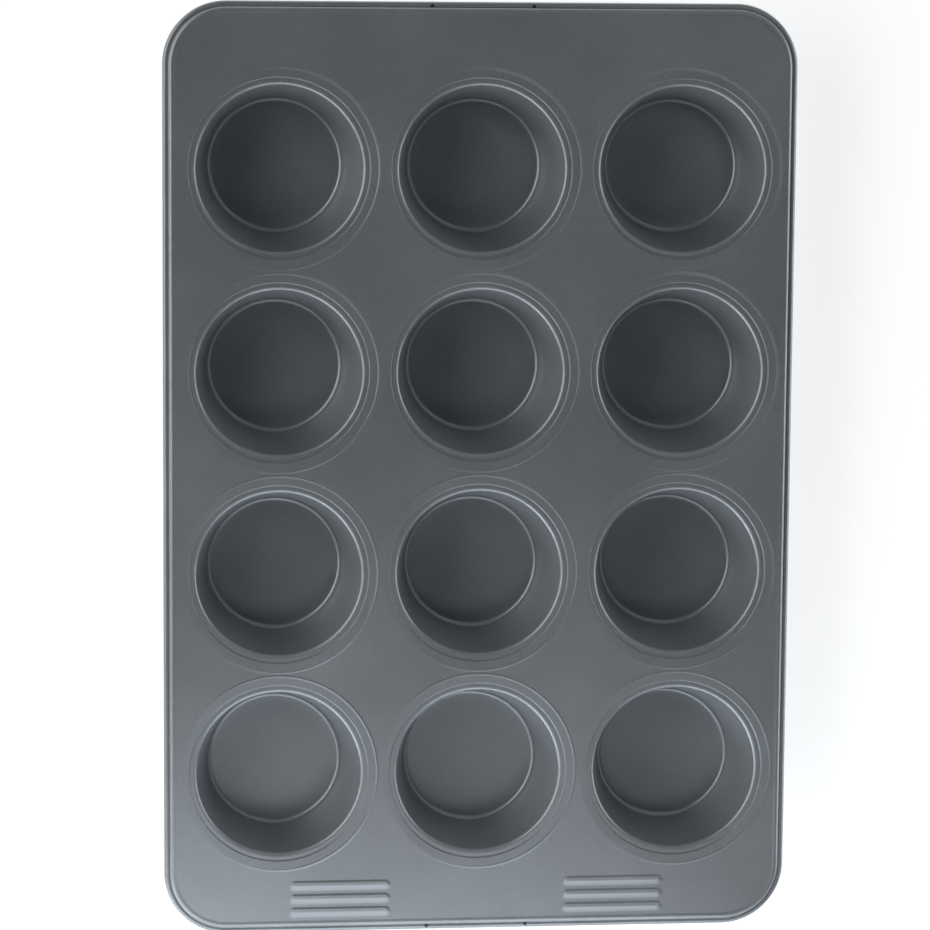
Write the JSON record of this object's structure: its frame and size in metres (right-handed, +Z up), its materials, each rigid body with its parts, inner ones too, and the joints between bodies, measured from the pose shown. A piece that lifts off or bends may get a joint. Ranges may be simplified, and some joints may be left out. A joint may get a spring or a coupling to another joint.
{
  "type": "muffin tin",
  "caption": "Pressed non-stick steel muffin tin with round tapered cups, a flat panel, raised bars at one end and an edge rolled around a wire.",
  "frame": {"origin": "middle of the tin on plan, on the plane that the cup floors stand on", "axes": "+Y runs along the tin's length, away from the end with the raised bars; +X is to the right when that end is nearest; +Z is up, out of the cups"},
  "size_m": [0.25, 0.37, 0.0329],
  "materials": {
    "coated_sheet": "dark grey non-stick coating, satin, with a fine metallic fleck, on pressed steel sheet",
    "steel_wire": "plain drawn steel wire, closed inside the rolled edge"
  },
  "bodies": {
    "root": {"panel": "coated_sheet", "cup_row1_left": "coated_sheet", "cup_row1_middle": "coated_sheet", "cup_row1_right": "coated_sheet", "cup_row2_left": "coated_sheet", "cup_row2_middle": "coated_sheet", "cup_row2_right": "coated_sheet", "cup_row3_left": "coated_sheet", "cup_row3_middle": "coated_sheet", "cup_row3_right": "coated_sheet", "cup_row4_left": "coated_sheet", "cup_row4_middle": "coated_sheet", "cup_row4_right": "coated_sheet", "rolled_rim": "coated_sheet", "rim_wire": "steel_wire"}
  },
  "joints": []
}
